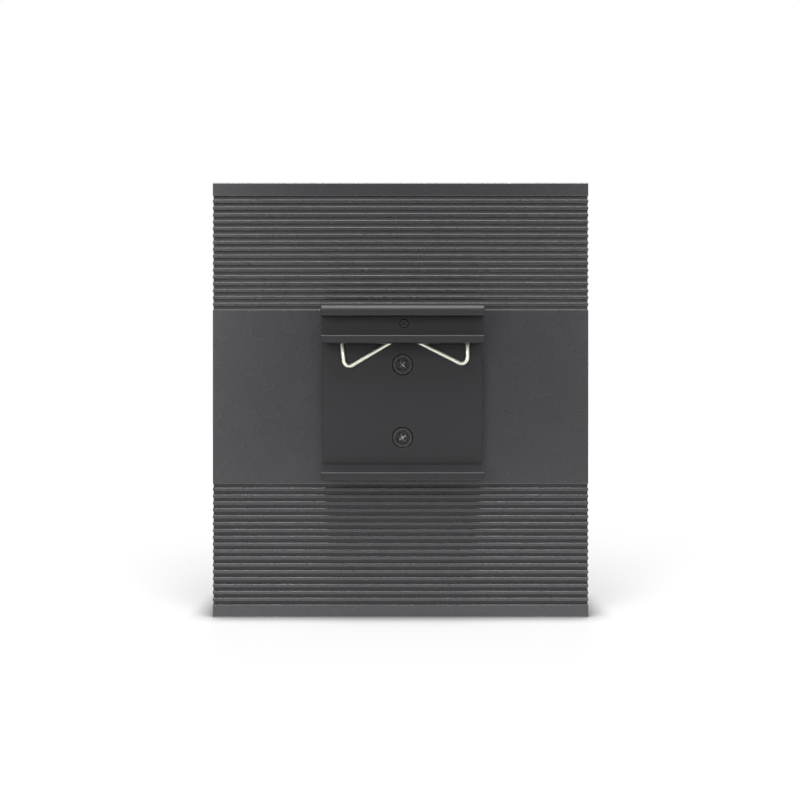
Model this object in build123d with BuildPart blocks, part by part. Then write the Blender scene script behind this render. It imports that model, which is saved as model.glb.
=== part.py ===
from build123d import *
from math import cos, radians, sin, tan
import os

# Ethernet switch that hooks onto a 35 mm mounting rail. All lengths are millimetres.
# X runs to the right and Z runs up as the rear is seen, and the rear faces -Y.
# The origin is the middle of the footprint, and the switch stands on Z = 0.

# Housing
housing_width = 95.0
housing_height = 110.0
housing_depth = 30.0
rear_wall = 4.0
end_wall = 2.5
outer_edge_radius = 0.4
inner_corner_radius = 0.5

# Cooling grooves that run across the rear, in a field above and a field below the plain middle
groove_pitch = 1.74
groove_width = 0.94
groove_depth = 0.9
groove_edge_radius = 0.15
upper_groove_count = 17
lower_groove_count = 18
top_band = 3.4
bottom_band = 3.16

# Folded front cover
cover_sheet = 1.2
cover_bend_radius = 0.6
cover_seam = 0.2
cutout_corner_radius = 0.5
tab_reach = 11.0
tab_width = 10.0
tab_setback = 2.5

# Mounting rail, and the room that its edge has in the clip
rail_width = 35.0
rail_edge = 1.0
rail_play = 0.05

# Clip, extruded along X
clip_offset = 0.5
clip_width = 40.0
clip_base_drop = 19.7
clip_plate = 2.5
clip_reach = 9.3
clip_edge_radius = 0.4
clip_end_chamfer = 0.15
hook_floor = 1.4
hook_face_height = 1.95
hook_tip_rise = 2.2
hook_tip_flat = 0.5
rail_overlap = 2.8
strip_height = 1.95
recess_height = 4.65
bar_height = 3.0
bar_edge_radius = 1.8
cavity_roof = 2.0
cavity_front_wall = 1.0

# Spring wire, W-shaped, looped over its pin and leaning a little
wire_radius = 0.525
wire_play = 0.1
wire_bend_radius = 1.5
wire_shoulder_radius = 1.2
wire_foot_offset = 15.23
wire_foot_drop = 11.05
wire_leg_rise = 1.8
wire_leg_lean = 2.45
wire_arm_slope = 27.45
wire_tilt = 2.4
pin_radius = 1.1
pin_offset = 0.35
pin_drop = 1.64
pin_sink = 0.15

# Screws, their heads and cross recesses
screw_radius = 1.5
screw_clearance = 0.05
countersunk_head_radius = 2.55
countersunk_rim = 0.08
countersunk_bevel = 0.15
countersunk_sink = 0.06
countersink_angle = 90.0
cross_span = 3.0
cross_width = 0.7
cross_depth = 1.0
cross_taper = 14.0
cross_turn = 45.0
lower_cross_turn = 32.0
pan_head_radius = 2.8
pan_head_height = 2.0
pan_head_edge_radius = 0.8
screw_tip_chamfer = 0.3
clip_screw_length = 6.0
clip_screw_spacing = 18.3
clip_screw_drop = 0.35
cover_screw_length = 5.0

# Circuit board and its standoffs
board_side_margin = 3.0
board_end_margin = 4.0
board_thickness = 1.6
board_corner_radius = 2.0
standoff_inset = 4.5
standoff_across_flats = 5.5
standoff_bore_margin = 1.0
standoff_floor_share = 0.36
stud_length = 2.2

# Ganged sockets, four in a block, with the latch sides outward
port_count = 4
port_pitch = 13.97
port_width = 11.9
port_height = 6.8
port_depth = 13.0
keyway_width = 6.4
keyway_height = 1.5
latch_slot_width = 4.2
latch_slot_height = 1.1
contact_wall = 2.3
jack_width = 14.0
jack_height = 16.3
jack_proud = 0.3
jack_end_margin = 0.6
jack_offset_share = 0.2632
shield_sheet = 0.3
shield_window_margin = 0.15
jack_window_gap = 0.25

# Contact wires in each socket
contact_count = 8
contact_pitch = 1.02
contact_width = 0.46
contact_thickness = 0.3
contact_pocket_margin = 0.5
contact_pocket_depth = 0.6
contact_bend_radius = 0.25
contact_mouth = 2.0
contact_reach = 8.5
contact_rise = 2.1

# Light guides and their lamps
guide_radius = 1.2
guide_clearance = 0.1
guide_proud = 0.3
guide_from_jack = 2.5
guide_lamp_gap = 0.3
guide_bar_width = 3.0
guide_bar_thickness = 2.0
lamp_length = 2.0
lamp_width = 1.25
lamp_height = 0.8
status_count = 3
status_pitch = 5.0
side_column_share = 0.3158

# Power terminal: header on the board, plug and its clamps
pole_count = 4
pole_pitch = 5.08
plug_end_margin = 0.8
plug_height = 12.0
plug_proud = 3.4
plug_edge_radius = 0.4
nose_shrink = 1.0
nose_height = 8.4
header_wall = 1.0
header_height = 9.0
header_floor = 2.0
header_play = 0.1
terminal_window_gap = 0.3
wire_entry_width = 3.2
wire_entry_height = 3.4
wire_entry_depth = 7.0
wire_entry_drop = 2.8
clamp_wall = 0.4
clamp_play = 0.05
clamp_length = 4.0
clamp_sink = 1.6
driver_hole_radius = 1.8
driver_hole_depth = 5.0
driver_hole_rise = 2.9
terminal_screw_head_radius = 1.7
terminal_screw_sink = 1.2
terminal_slot_width = 0.5
terminal_slot_depth = 0.7
terminal_pin_width = 1.0
terminal_pin_reach = 5.0
terminal_pin_tail = 1.2
pin_hole_margin = 0.1
pin_socket_margin = 0.5

# Ground screw on the front panel
ground_screw_radius = 2.0
ground_head_radius = 3.5
ground_head_height = 2.4
ground_washer_radius = 4.4
ground_washer_thickness = 0.5
ground_washer_teeth = 12
ground_tooth_depth = 0.6
ground_tooth_width = 0.9
ground_screw_length = 5.0
ground_nut_radius = 4.35
ground_nut_height = 3.2

# Switch chip and the pad that carries its heat to the housing
chip_width = 14.0
chip_height = 1.2
chip_corner_chamfer = 1.0
pad_width = 13.0
pad_thickness = 1.0
heat_land_height = 15.0
heat_land_width = 60.0

# Other electronics
transformer_width = 9.0
transformer_length = 12.7
transformer_height = 5.7
transformer_spacing_x = 10.4
transformer_spacing_z = 28.0
transformer_chamfer = 0.5
inductor_width = 12.0
inductor_height = 6.0
inductor_edge_radius = 2.0
inductor_x = -15.0
capacitor_radius = 4.0
capacitor_height = 10.2
capacitor_base_width = 8.3
capacitor_base_height = 1.0
capacitor_spacing = 11.0
capacitor_x = 13.0
converter_width = 5.0
converter_length = 6.0
converter_height = 1.6
converter_x = -28.0
crystal_width = 5.0
crystal_length = 3.2
crystal_height = 1.1
crystal_x = 13.0
flash_width = 5.3
flash_length = 5.2
flash_height = 1.9
flash_x = -14.0
flash_rise = 17.35
fuse_width = 7.4
fuse_length = 3.2
fuse_height = 2.4
fuse_x = -19.0

# Shares of the height left over below the sockets, above them and under the terminal
jack_base_share = 0.346
power_row_share = 0.136
terminal_share = 0.138

# Places along the depth, worked out from the sizes above
overall_depth = clip_reach + housing_depth + plug_proud
rear_y = clip_reach - overall_depth / 2
front_y = rear_y + housing_depth
wall_y = rear_y + rear_wall
panel_y = front_y - cover_sheet
jack_front_y = front_y + jack_proud
board_front_y = jack_front_y - jack_height
board_rear_y = board_front_y - board_thickness
standoff_length = board_rear_y - wall_y
plug_front_y = front_y + plug_proud
header_top_y = board_front_y + header_height

# Places across the rear and up the clip
middle_z = housing_height / 2
clip_base_z = middle_z - clip_base_drop
clip_screw_middle_z = middle_z - clip_screw_drop
clip_face_y = rear_y - clip_plate
clip_front_y = rear_y - clip_reach
cavity_depth = rail_edge + 2 * wire_radius + rail_play
cavity_front_y = clip_face_y - cavity_depth
recess_y = cavity_front_y - cavity_front_wall
rail_seat_z = clip_base_z + hook_floor
strip_z = rail_seat_z + rail_width - rail_overlap
recess_z = strip_z + strip_height
bar_z = recess_z + recess_height
clip_top_z = bar_z + bar_height
pin_x = clip_offset + pin_offset
pin_z = bar_z - pin_drop
clip_screw_places = [
    (clip_offset, clip_screw_middle_z - clip_screw_spacing / 2),
    (clip_offset, clip_screw_middle_z + clip_screw_spacing / 2),
]

# Places inside the housing
flange_x = housing_width / 2 - cover_sheet
fold_x = housing_width / 2 - cover_sheet / 2
fold_y = front_y - cover_sheet / 2
seam_y = wall_y + cover_seam
tab_bend = cover_bend_radius + cover_sheet / 2
tab_y = panel_y - tab_setback - tab_width / 2
cover_screw_x = flange_x - tab_reach / 2
board_width = housing_width - 2 * board_side_margin
board_height = housing_height - 2 * board_end_margin
standoff_spacing_x = board_width - 2 * standoff_inset
standoff_spacing_z = board_height - 2 * standoff_inset
standoff_floor = standoff_floor_share * standoff_length
board_screw_length = board_thickness + standoff_length - standoff_floor - standoff_bore_margin
jack_length = port_count * port_pitch + 2 * jack_end_margin
spare_height = housing_height - jack_length - inductor_width - plug_height
jack_offset = jack_offset_share * housing_width
jack_base_z = jack_base_share * spare_height
status_x = side_column_share * housing_width
ground_x = -status_x
jack_middle_z = jack_base_z + jack_length / 2
guide_offset = jack_offset - jack_width / 2 - guide_from_jack
power_row_z = jack_base_z + jack_length + power_row_share * spare_height + inductor_width / 2
terminal_lift = inductor_width / 2 + terminal_share * spare_height + plug_height / 2
terminal_z = power_row_z + terminal_lift
flash_z = clip_screw_middle_z + flash_rise
plug_width = pole_count * pole_pitch + 2 * plug_end_margin
nose_width = plug_width - nose_shrink
screw_hole_radius = screw_radius + screw_clearance
countersink_radius = countersunk_head_radius + countersunk_rim + countersunk_sink + screw_clearance
pan_hole_radius = screw_radius + 2 * screw_clearance
guide_hole_radius = guide_radius + guide_clearance


def cross_plane(y):
    """Plane across the depth at y: its x is X, its y is Z, and its normal points to the rear."""
    return Plane.XZ.offset(-y)


def cover_screw_planes():
    """Planes of the four cover screws on the bottom and top faces, with their normals outward."""
    planes = []
    for x in (-cover_screw_x, cover_screw_x):
        planes.append(Plane(origin=(x, tab_y, 0), x_dir=(1, 0, 0), z_dir=(0, 0, -1)))
        planes.append(Plane(origin=(x, tab_y, housing_height), x_dir=(1, 0, 0), z_dir=(0, 0, 1)))
    return planes


def countersunk_screw(length, turn):
    """Countersunk screw along -Z with the flat of its head on Z = 0 and its recess turned."""
    with BuildPart() as screw:
        with BuildSketch(Plane.XZ):
            with BuildLine():
                Polyline(
                    (0, 0),
                    (countersunk_head_radius - countersunk_bevel, 0),
                    (countersunk_head_radius, -countersunk_rim),
                    (screw_radius, -countersunk_rim - countersunk_head_radius + screw_radius),
                    (screw_radius, -length + screw_tip_chamfer),
                    (screw_radius - screw_tip_chamfer, -length),
                    (0, -length),
                    close=True,
                )
            make_face()
        revolve(axis=Axis.Z)
        with BuildSketch(Plane.XY):
            Rectangle(cross_span, cross_width, rotation=turn)
            Rectangle(cross_width, cross_span, rotation=turn)
        extrude(amount=-cross_depth, taper=cross_taper, mode=Mode.SUBTRACT)
    return screw.part


def pan_screw(shank_radius, head_radius, head_height, length):
    """Pan head screw along -Z with the seat of its head on Z = 0."""
    with BuildPart() as screw:
        Cylinder(head_radius, head_height, align=(Align.CENTER, Align.CENTER, Align.MIN))
        fillet(screw.edges().group_by(Axis.Z)[-1], radius=pan_head_edge_radius)
        Cylinder(shank_radius, length, align=(Align.CENTER, Align.CENTER, Align.MAX))
        chamfer(screw.edges().group_by(Axis.Z)[0], length=screw_tip_chamfer)
        with BuildSketch(Plane.XY.offset(head_height)):
            Rectangle(cross_span, cross_width)
            Rectangle(cross_width, cross_span)
        extrude(amount=-cross_depth, taper=cross_taper, mode=Mode.SUBTRACT)
    return screw.part


def port_places(side):
    """Centres of the sockets of the block on the given side, as (x, z)."""
    first = jack_middle_z - (port_count - 1) * port_pitch / 2
    return [(side * jack_offset, first + port_pitch * row) for row in range(port_count)]


def port_outline(side, margin):
    """Sketches one socket mouth: the plug's room, the keyway and the latch slot beyond it."""
    inner = -jack_width / 2 + shield_sheet + contact_wall
    reach = port_height / 2
    with Locations((side * (inner + reach), 0)):
        Rectangle(port_height + 2 * margin, port_width + 2 * margin)
    with Locations((side * (inner + reach + keyway_height / 2), 0)):
        Rectangle(port_height + keyway_height + 2 * margin, keyway_width + 2 * margin)
    latch_height = keyway_height + latch_slot_height
    with Locations((side * (inner + reach + latch_height / 2), 0)):
        Rectangle(port_height + latch_height + 2 * margin, latch_slot_width + 2 * margin)


def finish(builder, name):
    """Labels the finished piece and writes it to its own file."""
    builder.part.label = name
    export_step(builder.part, f"parts/{name}.step")


os.makedirs("parts", exist_ok=True)

# Rear housing: an extrusion along X with the grooved rear wall and the top and bottom walls
with BuildPart() as rear_housing:
    with BuildSketch(Plane.YZ) as housing_profile:
        with Locations((rear_y, 0)):
            Rectangle(housing_depth - cover_sheet, housing_height, align=(Align.MIN, Align.MIN))
        with Locations((wall_y, middle_z)):
            Rectangle(
                housing_depth,
                housing_height - 2 * end_wall,
                align=(Align.MIN, Align.CENTER),
                mode=Mode.SUBTRACT,
            )
        fillet(housing_profile.vertices().group_by(Axis.X)[1], radius=inner_corner_radius)
        upper_span = (upper_groove_count - 1) * groove_pitch + groove_width
        lower_span = (lower_groove_count - 1) * groove_pitch + groove_width
        with Locations((rear_y, housing_height - top_band - upper_span / 2)):
            with GridLocations(groove_pitch, groove_pitch, 1, upper_groove_count):
                Rectangle(2 * groove_depth, groove_width, mode=Mode.SUBTRACT)
        with Locations((rear_y, bottom_band + lower_span / 2)):
            with GridLocations(groove_pitch, groove_pitch, 1, lower_groove_count):
                Rectangle(2 * groove_depth, groove_width, mode=Mode.SUBTRACT)
        rear_points = housing_profile.vertices().group_by(Axis.X)[0].sort_by(Axis.Y)
        fillet(rear_points[1:-1], radius=groove_edge_radius)
        rear_points = housing_profile.vertices().group_by(Axis.X)[0].sort_by(Axis.Y)
        fillet([rear_points[0], rear_points[-1]], radius=outer_edge_radius)
    extrude(amount=housing_width / 2, both=True)
    with BuildSketch(cross_plane(board_rear_y - chip_height - pad_thickness)):
        with Locations((0, clip_screw_middle_z)):
            Rectangle(heat_land_width, heat_land_height)
    extrude(amount=standoff_length - chip_height - pad_thickness)
    with Locations(cross_plane(rear_y)):
        with Locations(*clip_screw_places):
            Hole(screw_hole_radius, depth=rear_wall)
    with BuildSketch(cross_plane(wall_y)):
        with Locations((0, middle_z)):
            with GridLocations(standoff_spacing_x, standoff_spacing_z, 2, 2):
                Circle(screw_hole_radius)
    extrude(amount=stud_length + screw_clearance, mode=Mode.SUBTRACT)
    with Locations(*cover_screw_planes()):
        CounterSinkHole(
            screw_hole_radius,
            countersink_radius,
            depth=end_wall,
            counter_sink_angle=countersink_angle,
        )
finish(rear_housing, "rear_housing")

# Front cover: one folded sheet with the front panel, both sides and four screw tabs
with BuildPart() as front_cover:
    with BuildSketch(Plane.XY):
        with BuildLine():
            FilletPolyline(
                (-fold_x, seam_y),
                (-fold_x, fold_y),
                (fold_x, fold_y),
                (fold_x, seam_y),
                radius=tab_bend,
            )
        trace(line_width=cover_sheet)
    extrude(amount=housing_height)
    with BuildSketch(Plane.YZ):
        with Locations((panel_y, 0), (panel_y, housing_height)):
            Rectangle(
                2 * housing_depth,
                2 * (end_wall + cover_seam),
                align=(Align.MAX, Align.CENTER),
            )
    extrude(amount=housing_width, both=True, mode=Mode.SUBTRACT)
    with BuildSketch(cross_plane(tab_y + tab_width / 2)):
        for side in (-1, 1):
            for tab_z, inward in ((end_wall, 1), (housing_height - end_wall, -1)):
                with BuildLine():
                    FilletPolyline(
                        (side * fold_x, tab_z + inward * 2 * tab_bend),
                        (side * fold_x, tab_z + inward * cover_sheet / 2),
                        (side * (flange_x - tab_reach), tab_z + inward * cover_sheet / 2),
                        radius=tab_bend,
                    )
                trace(line_width=cover_sheet)
    extrude(amount=tab_width)
    with BuildSketch(cross_plane(front_y)) as cover_cutouts:
        with Locations((-jack_offset, jack_middle_z), (jack_offset, jack_middle_z)):
            Rectangle(jack_width + 2 * jack_window_gap, jack_length + 2 * jack_window_gap)
        with Locations((0, terminal_z)):
            Rectangle(plug_width + 2 * terminal_window_gap, plug_height + 2 * terminal_window_gap)
        fillet(cover_cutouts.vertices(), radius=cutout_corner_radius)
        for side in (-1, 1):
            for place in port_places(side):
                with Locations((side * guide_offset, place[1])):
                    Circle(guide_hole_radius)
        with Locations((status_x, terminal_z)):
            with GridLocations(status_pitch, status_pitch, 1, status_count):
                Circle(guide_hole_radius)
        with Locations((ground_x, terminal_z)):
            Circle(ground_screw_radius + screw_clearance)
    extrude(amount=cover_sheet, mode=Mode.SUBTRACT)
    with Locations(*cover_screw_planes()):
        Hole(screw_hole_radius, depth=end_wall + 2 * cover_sheet)
finish(front_cover, "front_cover")

# Cover screws: two in the bottom wall and two in the top wall
cover_screw = countersunk_screw(cover_screw_length, cross_turn)
with BuildPart() as cover_screws:
    with Locations(*cover_screw_planes()):
        with Locations((0, 0, -countersunk_sink)):
            add(cover_screw)
finish(cover_screws, "cover_screws")

# Clip: an extrusion with the hook below, and the strip, recess and bar in front of its cavity
with BuildPart() as din_clip:
    with BuildSketch(Plane.YZ.offset(clip_offset)) as clip_profile:
        with Locations((rear_y, clip_base_z)):
            Rectangle(clip_plate, clip_top_z - clip_base_z, align=(Align.MAX, Align.MIN))
            Rectangle(clip_reach, hook_floor, align=(Align.MAX, Align.MIN))
        with BuildLine():
            Polyline(
                (cavity_front_y, clip_base_z),
                (clip_front_y, clip_base_z),
                (clip_front_y, clip_base_z + hook_face_height),
                (cavity_front_y - hook_tip_flat, rail_seat_z + hook_tip_rise),
                (cavity_front_y, rail_seat_z + hook_tip_rise),
                close=True,
            )
        make_face()
        with Locations((rear_y, clip_top_z)):
            Rectangle(clip_reach, cavity_roof, align=(Align.MAX, Align.MAX))
        with Locations((cavity_front_y, clip_top_z)):
            Rectangle(clip_reach - clip_plate - cavity_depth, bar_height, align=(Align.MAX, Align.MAX))
        with Locations((cavity_front_y, strip_z)):
            Rectangle(cavity_front_wall, clip_top_z - strip_z, align=(Align.MAX, Align.MIN))
            Rectangle(clip_reach - clip_plate - cavity_depth, strip_height, align=(Align.MAX, Align.MIN))
        outer_points = clip_profile.vertices().group_by(Axis.X)[0].sort_by(Axis.Y)
        fillet(outer_points[:-1], radius=clip_edge_radius)
        top_points = clip_profile.vertices().group_by(Axis.Y)[-1]
        fillet(top_points.sort_by(Axis.X)[0], radius=bar_edge_radius)
    extrude(amount=clip_width / 2, both=True)
    clip_ends = din_clip.faces().sort_by(Axis.X)
    chamfer(clip_ends[0].edges() + clip_ends[-1].edges(), length=clip_end_chamfer)
    with Locations(cross_plane(clip_face_y)):
        with Locations(*clip_screw_places):
            CounterSinkHole(
                screw_hole_radius,
                countersink_radius,
                depth=clip_plate,
                counter_sink_angle=countersink_angle,
            )
    with Locations(cross_plane(recess_y)):
        with Locations((pin_x, pin_z)):
            Hole(pin_radius + screw_clearance, depth=rear_y - recess_y)
finish(din_clip, "din_clip")

# Clip screws, each tightened to its own angle
with BuildPart() as clip_screw_lower:
    with Locations(cross_plane(clip_face_y + countersunk_sink)):
        with Locations(clip_screw_places[0]):
            add(countersunk_screw(clip_screw_length, lower_cross_turn))
finish(clip_screw_lower, "clip_screw_lower")

with BuildPart() as clip_screw_upper:
    with Locations(cross_plane(clip_face_y + countersunk_sink)):
        with Locations(clip_screw_places[1]):
            add(countersunk_screw(clip_screw_length, cross_turn))
finish(clip_screw_upper, "clip_screw_upper")

# Pin that carries the spring wire, across the clip's cavity
with BuildPart() as clip_pin:
    with BuildSketch(cross_plane(rear_y)):
        with Locations((pin_x, pin_z)):
            Circle(pin_radius)
    extrude(amount=rear_y - recess_y - pin_sink)
finish(clip_pin, "clip_pin")

# Spring wire: a leg, a foot and an arm on each side, joined by a loop over the pin
loop_radius = pin_radius + wire_radius + screw_clearance
leg_spread = tan(radians(wire_leg_lean)) * (wire_foot_drop + wire_leg_rise)
arm_rise = tan(radians(wire_arm_slope)) * (wire_foot_offset - loop_radius)
wire_y = clip_face_y - wire_play - wire_radius
wire_plane = Plane(
    origin=(pin_x, wire_y, pin_z),
    x_dir=(cos(radians(wire_tilt)), 0, sin(radians(wire_tilt))),
    z_dir=(0, -1, 0),
)
with BuildPart() as clip_spring:
    with BuildLine(wire_plane) as wire_path:
        FilletPolyline(
            (-wire_foot_offset - leg_spread, wire_leg_rise),
            (-wire_foot_offset, -wire_foot_drop),
            (-loop_radius, arm_rise - wire_foot_drop),
            (-loop_radius, 0),
            radius=[wire_bend_radius, wire_shoulder_radius],
        )
        ThreePointArc((-loop_radius, 0), (0, loop_radius), (loop_radius, 0))
        FilletPolyline(
            (loop_radius, 0),
            (loop_radius, arm_rise - wire_foot_drop),
            (wire_foot_offset, -wire_foot_drop),
            (wire_foot_offset + leg_spread, wire_leg_rise),
            radius=[wire_shoulder_radius, wire_bend_radius],
        )
    with BuildSketch(Plane(origin=wire_path.wire() @ 0, z_dir=wire_path.wire() % 0)):
        Circle(wire_radius)
    sweep()
finish(clip_spring, "clip_spring")

# Circuit board
with BuildPart() as main_board:
    with BuildSketch(cross_plane(board_front_y)) as board_profile:
        with Locations((0, middle_z)):
            RectangleRounded(board_width, board_height, board_corner_radius)
            with GridLocations(standoff_spacing_x, standoff_spacing_z, 2, 2):
                Circle(pan_hole_radius, mode=Mode.SUBTRACT)
        with Locations((0, terminal_z)):
            with GridLocations(pole_pitch, pole_pitch, pole_count, 1):
                Rectangle(
                    terminal_pin_width + 2 * pin_hole_margin,
                    terminal_pin_width + 2 * pin_hole_margin,
                    mode=Mode.SUBTRACT,
                )
    extrude(amount=board_thickness)
finish(main_board, "main_board")

# Standoffs between the rear wall and the board, each with a stud in the wall
with BuildPart() as board_standoffs:
    with BuildSketch(cross_plane(board_rear_y)):
        with Locations((0, middle_z)):
            with GridLocations(standoff_spacing_x, standoff_spacing_z, 2, 2):
                RegularPolygon(standoff_across_flats / 2, 6, major_radius=False)
                Circle(screw_hole_radius, mode=Mode.SUBTRACT)
    extrude(amount=standoff_length)
    with BuildSketch(cross_plane(wall_y)):
        with Locations((0, middle_z)):
            with GridLocations(standoff_spacing_x, standoff_spacing_z, 2, 2):
                Circle(screw_radius)
    extrude(amount=stud_length)
    with BuildSketch(cross_plane(wall_y + standoff_floor)):
        with Locations((0, middle_z)):
            with GridLocations(standoff_spacing_x, standoff_spacing_z, 2, 2):
                Circle(screw_hole_radius + screw_clearance)
    extrude(amount=standoff_floor)
finish(board_standoffs, "board_standoffs")

# Board screws
board_screw = pan_screw(screw_radius, pan_head_radius, pan_head_height, board_screw_length)
board_screw_plane = Plane(origin=(0, board_front_y, 0), x_dir=(-1, 0, 0), z_dir=(0, 1, 0))
with BuildPart() as board_screws:
    with Locations(board_screw_plane):
        with Locations((0, middle_z)):
            with GridLocations(standoff_spacing_x, standoff_spacing_z, 2, 2):
                add(board_screw)
finish(board_screws, "board_screws")

# Sockets: on each side a moulded block, its folded shield and its contact wires
for side, hand in ((-1, "left"), (1, "right")):
    pocket_x = side * (jack_offset - jack_width / 2 + shield_sheet + contact_wall)
    pocket_width = (contact_count - 1) * contact_pitch + contact_width + 2 * contact_pocket_margin

    with BuildPart() as jack_block:
        with BuildSketch(cross_plane(jack_front_y - shield_sheet)):
            with Locations((side * jack_offset, jack_middle_z)):
                Rectangle(jack_width - 2 * shield_sheet, jack_length - 2 * shield_sheet)
        extrude(amount=jack_height - shield_sheet)
        with BuildSketch(cross_plane(jack_front_y - shield_sheet)):
            with Locations(*port_places(side)):
                port_outline(side, 0)
        extrude(amount=port_depth, mode=Mode.SUBTRACT)
        with BuildSketch(cross_plane(jack_front_y - contact_mouth)):
            for place in port_places(side):
                with Locations((pocket_x, place[1])):
                    Rectangle(2 * contact_pocket_depth, pocket_width)
        extrude(amount=jack_height, mode=Mode.SUBTRACT)
    finish(jack_block, f"jack_block_{hand}")

    with BuildPart() as jack_shield:
        with BuildSketch(cross_plane(jack_front_y)):
            with Locations((side * jack_offset, jack_middle_z)):
                Rectangle(jack_width, jack_length)
        extrude(amount=jack_height)
        with BuildSketch(cross_plane(jack_front_y - shield_sheet)):
            with Locations((side * jack_offset, jack_middle_z)):
                Rectangle(jack_width - 2 * shield_sheet, jack_length - 2 * shield_sheet)
        extrude(amount=jack_height, mode=Mode.SUBTRACT)
        with BuildSketch(cross_plane(jack_front_y)):
            with Locations(*port_places(side)):
                port_outline(side, shield_window_margin)
        extrude(amount=shield_sheet, mode=Mode.SUBTRACT)
    finish(jack_shield, f"jack_shield_{hand}")

    with BuildPart() as contact:
        with BuildSketch(Plane.XY):
            leg_x = pocket_x - side * (contact_pocket_depth - contact_thickness / 2)
            arm_x = pocket_x + side * contact_thickness / 2
            mouth_y = jack_front_y - contact_mouth - contact_thickness
            with BuildLine():
                FilletPolyline(
                    (leg_x, board_front_y),
                    (leg_x, mouth_y),
                    (arm_x, mouth_y),
                    (pocket_x + side * contact_rise, mouth_y - contact_reach),
                    radius=contact_bend_radius,
                )
            trace(line_width=contact_thickness)
        extrude(amount=contact_width / 2, both=True)
    with BuildPart() as jack_contacts:
        for place in port_places(side):
            with Locations((0, 0, place[1])):
                for number in range(contact_count):
                    with Locations((0, 0, (number - (contact_count - 1) / 2) * contact_pitch)):
                        add(contact.part)
    finish(jack_contacts, f"jack_contacts_{hand}")

    with BuildPart() as light_bar:
        guide_rows = [(side * guide_offset, place[1]) for place in port_places(side)]
        with BuildSketch(cross_plane(front_y + guide_proud)):
            with Locations(*guide_rows):
                Circle(guide_radius)
        extrude(amount=front_y + guide_proud - board_front_y - lamp_height - guide_lamp_gap)
        with BuildSketch(cross_plane(panel_y)):
            with Locations((side * guide_offset, jack_middle_z)):
                Rectangle(guide_bar_width, (port_count - 1) * port_pitch + 2 * guide_bar_width)
        extrude(amount=guide_bar_thickness)
    finish(light_bar, f"light_bar_{hand}")

# Lamps under the port light guides
with BuildPart() as port_leds:
    with BuildSketch(cross_plane(board_front_y + lamp_height)):
        for side in (-1, 1):
            for place in port_places(side):
                with Locations((side * guide_offset, place[1])):
                    Rectangle(lamp_width, lamp_length)
    extrude(amount=lamp_height)
finish(port_leds, "port_leds")

# Status lamps and their light guide
with BuildPart() as status_leds:
    with BuildSketch(cross_plane(board_front_y + lamp_height)):
        with Locations((status_x, terminal_z)):
            with GridLocations(status_pitch, status_pitch, 1, status_count):
                Rectangle(lamp_length, lamp_width)
    extrude(amount=lamp_height)
finish(status_leds, "status_leds")

with BuildPart() as status_light_bar:
    with BuildSketch(cross_plane(front_y + guide_proud)):
        with Locations((status_x, terminal_z)):
            with GridLocations(status_pitch, status_pitch, 1, status_count):
                Circle(guide_radius)
    extrude(amount=front_y + guide_proud - board_front_y - lamp_height - guide_lamp_gap)
    with BuildSketch(cross_plane(panel_y)):
        with Locations((status_x, terminal_z)):
            Rectangle(guide_bar_width, (status_count - 1) * status_pitch + guide_bar_width)
    extrude(amount=guide_bar_thickness)
finish(status_light_bar, "status_light_bar")

# Power terminal header, open to the front
with BuildPart() as terminal_header:
    with BuildSketch(cross_plane(header_top_y)):
        with Locations((0, terminal_z)):
            Rectangle(
                nose_width + 2 * (header_wall + header_play),
                nose_height + 2 * (header_wall + header_play),
            )
    extrude(amount=header_height)
    with BuildSketch(cross_plane(header_top_y)):
        with Locations((0, terminal_z)):
            Rectangle(nose_width + 2 * header_play, nose_height + 2 * header_play)
    extrude(amount=header_height - header_floor, mode=Mode.SUBTRACT)
    with BuildSketch(cross_plane(header_top_y)):
        with Locations((0, terminal_z)):
            with GridLocations(pole_pitch, pole_pitch, pole_count, 1):
                Rectangle(terminal_pin_width, terminal_pin_width)
    extrude(amount=header_height, mode=Mode.SUBTRACT)
finish(terminal_header, "terminal_header")

with BuildPart() as terminal_pins:
    with BuildSketch(cross_plane(board_front_y + header_floor + terminal_pin_reach)):
        with Locations((0, terminal_z)):
            with GridLocations(pole_pitch, pole_pitch, pole_count, 1):
                Rectangle(terminal_pin_width, terminal_pin_width)
    extrude(amount=header_floor + terminal_pin_reach + board_thickness + terminal_pin_tail)
finish(terminal_pins, "terminal_pins")

# Power terminal plug: the nose in the header, and the body with wire entries and driver holes
with BuildPart() as terminal_plug:
    with BuildSketch(cross_plane(plug_front_y)):
        with Locations((0, terminal_z)):
            Rectangle(plug_width, plug_height)
    extrude(amount=plug_front_y - header_top_y - header_play)
    fillet(terminal_plug.edges().group_by(Axis.Y)[-1], radius=plug_edge_radius)
    with BuildSketch(cross_plane(header_top_y + header_play)):
        with Locations((0, terminal_z)):
            Rectangle(nose_width, nose_height)
    extrude(amount=header_height - header_floor)
    with BuildSketch(cross_plane(plug_front_y)):
        with Locations((0, terminal_z - wire_entry_drop)):
            with GridLocations(pole_pitch, pole_pitch, pole_count, 1):
                Rectangle(wire_entry_width, wire_entry_height)
    extrude(amount=wire_entry_depth, mode=Mode.SUBTRACT)
    with BuildSketch(cross_plane(plug_front_y)):
        with Locations((0, terminal_z + driver_hole_rise)):
            with GridLocations(pole_pitch, pole_pitch, pole_count, 1):
                Circle(driver_hole_radius)
    extrude(amount=driver_hole_depth, mode=Mode.SUBTRACT)
    with BuildSketch(cross_plane(board_front_y + header_floor + terminal_pin_reach + pin_socket_margin)):
        with Locations((0, terminal_z)):
            with GridLocations(pole_pitch, pole_pitch, pole_count, 1):
                Rectangle(
                    terminal_pin_width + 2 * pin_socket_margin,
                    terminal_pin_width + 2 * pin_socket_margin,
                )
    extrude(amount=header_height, mode=Mode.SUBTRACT)
finish(terminal_plug, "terminal_plug")

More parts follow.
